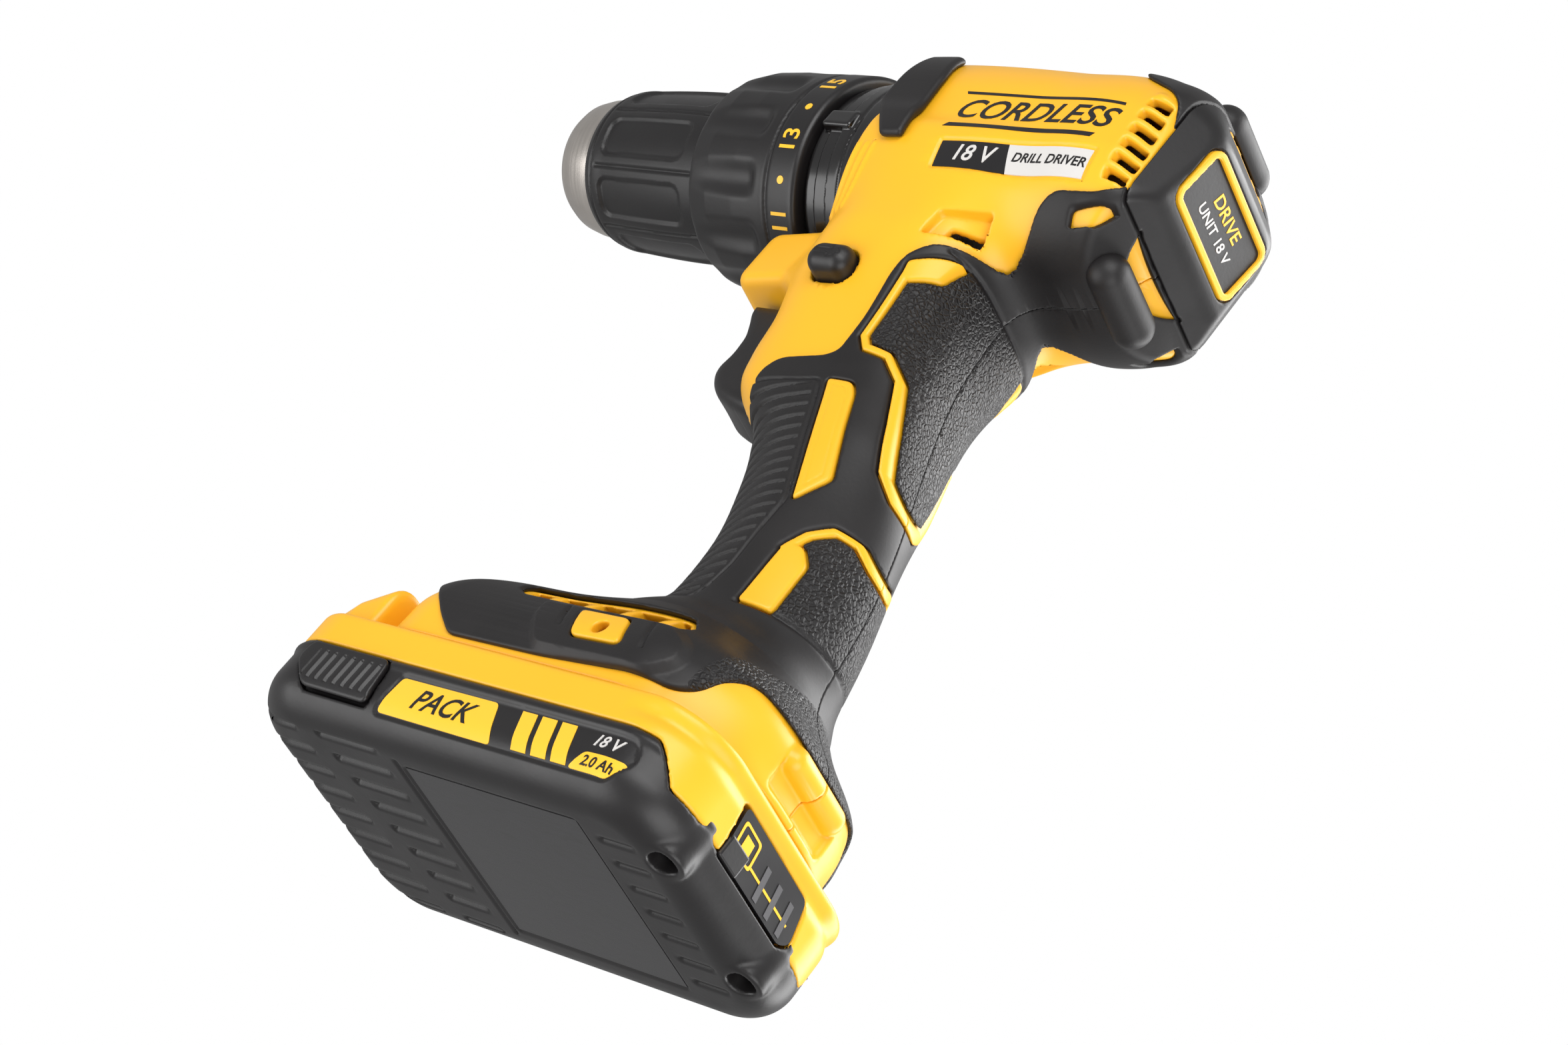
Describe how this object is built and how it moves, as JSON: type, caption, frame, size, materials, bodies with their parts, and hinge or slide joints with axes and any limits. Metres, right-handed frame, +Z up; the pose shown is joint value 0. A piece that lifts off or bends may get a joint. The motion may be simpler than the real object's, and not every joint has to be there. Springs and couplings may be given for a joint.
{
  "type": "cordless drill driver",
  "caption": "Pistol-grip cordless drill driver with keyless chuck, torque collar, two-speed planetary gearbox and slide-off battery pack.",
  "frame": {"origin": "middle of the battery pack's underside, on the surface that the drill stands on", "axes": "+X along the drive line towards the chuck, +Y the left side of the drill, +Z up"},
  "size_m": [0.2013, 0.0724, 0.2269],
  "materials": {
    "yellow_plastic": "satin moulded plastic",
    "black_plastic": "fine textured moulded plastic",
    "black_rubber": "soft overmould, leather-like grain",
    "black_gloss_plastic": "glossy",
    "clear_lens": "clear moulded lens",
    "circuit_board": "solder mask",
    "bright_steel": "satin turned metal",
    "machined_steel": "machined",
    "sintered_steel": "sintered, oiled",
    "motor_windings": "lacquered copper on a laminated core",
    "cell_wrap": null
  },
  "bodies": {
    "housing": {"housing_left": "yellow_plastic", "housing_right": "yellow_plastic", "grip_left": "black_rubber", "grip_right": "black_rubber", "front_pad_left": "black_rubber", "front_pad_right": "black_rubber", "rear_cap": "black_plastic", "housing_screw_1": "machined_steel", "housing_screw_2": "machined_steel", "housing_screw_3": "machined_steel", "housing_screw_4": "machined_steel", "led_lens": "clear_lens", "switch_module": "black_plastic", "control_board": "circuit_board", "terminal_block": "black_plastic", "motor_can": "machined_steel", "gear_case": "black_gloss_plastic", "ring_gear_1": "sintered_steel", "spindle_bearing": "machined_steel", "trigger_spring": "machined_steel", "clutch_spring": "machined_steel"},
    "trigger": {"trigger": "black_plastic"},
    "direction_selector": {"direction_selector": "black_plastic"},
    "speed_selector": {"speed_selector": "black_plastic"},
    "shift_ring": {"ring_gear_2": "sintered_steel"},
    "rotor": {"rotor_core": "motor_windings", "rotor_shaft": "machined_steel", "motor_pinion": "machined_steel", "motor_fan": "black_plastic"},
    "carrier_1": {"carrier_1": "machined_steel"},
    "planet_1a": {"planet_1a": "sintered_steel"},
    "planet_1b": {"planet_1b": "sintered_steel"},
    "planet_1c": {"planet_1c": "sintered_steel"},
    "chuck": {"output_spindle": "machined_steel", "chuck_body": "machined_steel", "nose_ring": "bright_steel"},
    "planet_2a": {"planet_2a": "sintered_steel"},
    "planet_2b": {"planet_2b": "sintered_steel"},
    "planet_2c": {"planet_2c": "sintered_steel"},
    "torque_collar": {"torque_collar": "black_plastic"},
    "clutch_nut": {"clutch_nut": "machined_steel"},
    "chuck_sleeve": {"chuck_sleeve": "black_plastic"},
    "jaw_1": {"jaw_1": "machined_steel"},
    "jaw_2": {"jaw_2": "machined_steel"},
    "jaw_3": {"jaw_3": "machined_steel"},
    "battery": {"battery_top": "yellow_plastic", "battery_bottom": "black_plastic", "contact_block": "black_plastic", "cell_1": "cell_wrap", "cell_2": "cell_wrap", "cell_3": "cell_wrap", "cell_4": "cell_wrap", "cell_5": "cell_wrap", "battery_screw_1": "machined_steel", "battery_screw_2": "machined_steel"},
    "release_left": {"release_button_left": "black_plastic"},
    "release_right": {"release_button_right": "black_plastic"},
    "gauge_button": {"gauge_button": "black_plastic"}
  },
  "joints": [
    {"name": "trigger_pull", "type": "slide", "parent": "housing", "child": "trigger", "axis": [-1, 0, 0], "range_m": [0, 0.006], "stiffness_N_per_m": 800, "springref_m": -0.006, "deforming": ["trigger_spring"]},
    {"name": "direction_slide", "type": "slide", "parent": "housing", "child": "direction_selector", "axis": [0, 1, 0], "range_m": [-0.0035, 0.0035]},
    {"name": "speed_shift", "type": "slide", "parent": "housing", "child": "speed_selector", "axis": [-1, 0, 0], "range_m": [0, 0.008]},
    {"name": "shift_ring_slide", "type": "slide", "parent": "housing", "child": "shift_ring", "axis": [-1, 0, 0], "range_m": [0, 0.0038]},
    {"name": "collar_turn", "type": "hinge", "parent": "housing", "child": "torque_collar", "pos_m": [0.067, 0, 0.195], "axis": [1, 0, 0], "range_deg": [0, 300]},
    {"name": "clutch_nut_slide", "type": "slide", "parent": "housing", "child": "clutch_nut", "axis": [1, 0, 0], "range_m": [0, 0.0053], "deforming": ["clutch_spring"]},
    {"name": "chuck_spin", "type": "hinge", "parent": "housing", "child": "chuck", "pos_m": [0.106, 0, 0.195], "axis": [1, 0, 0], "continuous": true},
    {"name": "rotor_spin", "type": "hinge", "parent": "housing", "child": "rotor", "pos_m": [-0.01, 0, 0.195], "axis": [1, 0, 0], "continuous": true},
    {"name": "carrier_1_spin", "type": "hinge", "parent": "housing", "child": "carrier_1", "pos_m": [0.025, 0, 0.195], "axis": [1, 0, 0], "continuous": true},
    {"name": "planet_1a_spin", "type": "hinge", "parent": "carrier_1", "child": "planet_1a", "pos_m": [0.0198, 0, 0.20563], "axis": [1, 0, 0], "continuous": true},
    {"name": "planet_1b_spin", "type": "hinge", "parent": "carrier_1", "child": "planet_1b", "pos_m": [0.0198, -0.0092, 0.18969], "axis": [1, 0, 0], "continuous": true},
    {"name": "planet_1c_spin", "type": "hinge", "parent": "carrier_1", "child": "planet_1c", "pos_m": [0.0198, 0.0092, 0.18969], "axis": [1, 0, 0], "continuous": true},
    {"name": "planet_2a_spin", "type": "hinge", "parent": "chuck", "child": "planet_2a", "pos_m": [0.032, 0, 0.20563], "axis": [1, 0, 0], "continuous": true},
    {"name": "planet_2b_spin", "type": "hinge", "parent": "chuck", "child": "planet_2b", "pos_m": [0.032, -0.0092, 0.18969], "axis": [1, 0, 0], "continuous": true},
    {"name": "planet_2c_spin", "type": "hinge", "parent": "chuck", "child": "planet_2c", "pos_m": [0.032, 0.0092, 0.18969], "axis": [1, 0, 0], "continuous": true},
    {"name": "sleeve_turn", "type": "hinge", "parent": "chuck", "child": "chuck_sleeve", "pos_m": [0.104, 0, 0.195], "axis": [1, 0, 0], "range_deg": [-720, 720]},
    {"name": "jaw_1_slide", "type": "slide", "parent": "chuck", "child": "jaw_1", "axis": [0.9703, 0, -0.2419], "range_m": [-0.0124, 0.0124]},
    {"name": "jaw_2_slide", "type": "slide", "parent": "chuck", "child": "jaw_2", "axis": [0.9703, 0.2095, 0.121], "range_m": [-0.0124, 0.0124]},
    {"name": "jaw_3_slide", "type": "slide", "parent": "chuck", "child": "jaw_3", "axis": [0.9703, -0.2095, 0.121], "range_m": [-0.0124, 0.0124]},
    {"name": "battery_slide", "type": "slide", "parent": "housing", "child": "battery", "axis": [1, 0, 0], "range_m": [0, 0.085]},
    {"name": "release_left_press", "type": "slide", "parent": "battery", "child": "release_left", "axis": [0, -1, 0], "range_m": [0, 0.0011], "stiffness_N_per_m": 1500, "springref_m": -0.002},
    {"name": "release_right_press", "type": "slide", "parent": "battery", "child": "release_right", "axis": [0, 1, 0], "range_m": [0, 0.0011], "stiffness_N_per_m": 1500, "springref_m": -0.002},
    {"name": "gauge_press", "type": "slide", "parent": "battery", "child": "gauge_button", "axis": [1, 0, 0], "range_m": [0, 0.001], "stiffness_N_per_m": 1000, "springref_m": -0.001}
  ],
  "couplings": [
    {"joint": "shift_ring_slide", "follows": "speed_shift", "ratio": 0.475},
    {"joint": "clutch_nut_slide", "follows": "collar_turn", "m_per_rad": 0.001},
    {"joint": "rotor_spin", "follows": "chuck_spin", "ratio": 25},
    {"joint": "carrier_1_spin", "follows": "chuck_spin", "ratio": 5},
    {"joint": "planet_1a_spin", "follows": "chuck_spin", "ratio": -13.333},
    {"joint": "planet_1b_spin", "follows": "chuck_spin", "ratio": -13.333},
    {"joint": "planet_1c_spin", "follows": "chuck_spin", "ratio": -13.333},
    {"joint": "planet_2a_spin", "follows": "chuck_spin", "ratio": -2.6667},
    {"joint": "planet_2b_spin", "follows": "chuck_spin", "ratio": -2.6667},
    {"joint": "planet_2c_spin", "follows": "chuck_spin", "ratio": -2.6667},
    {"joint": "jaw_1_slide", "follows": "sleeve_turn", "m_per_rad": -0.00098},
    {"joint": "jaw_2_slide", "follows": "sleeve_turn", "m_per_rad": -0.00098},
    {"joint": "jaw_3_slide", "follows": "sleeve_turn", "m_per_rad": -0.00098}
  ]
}
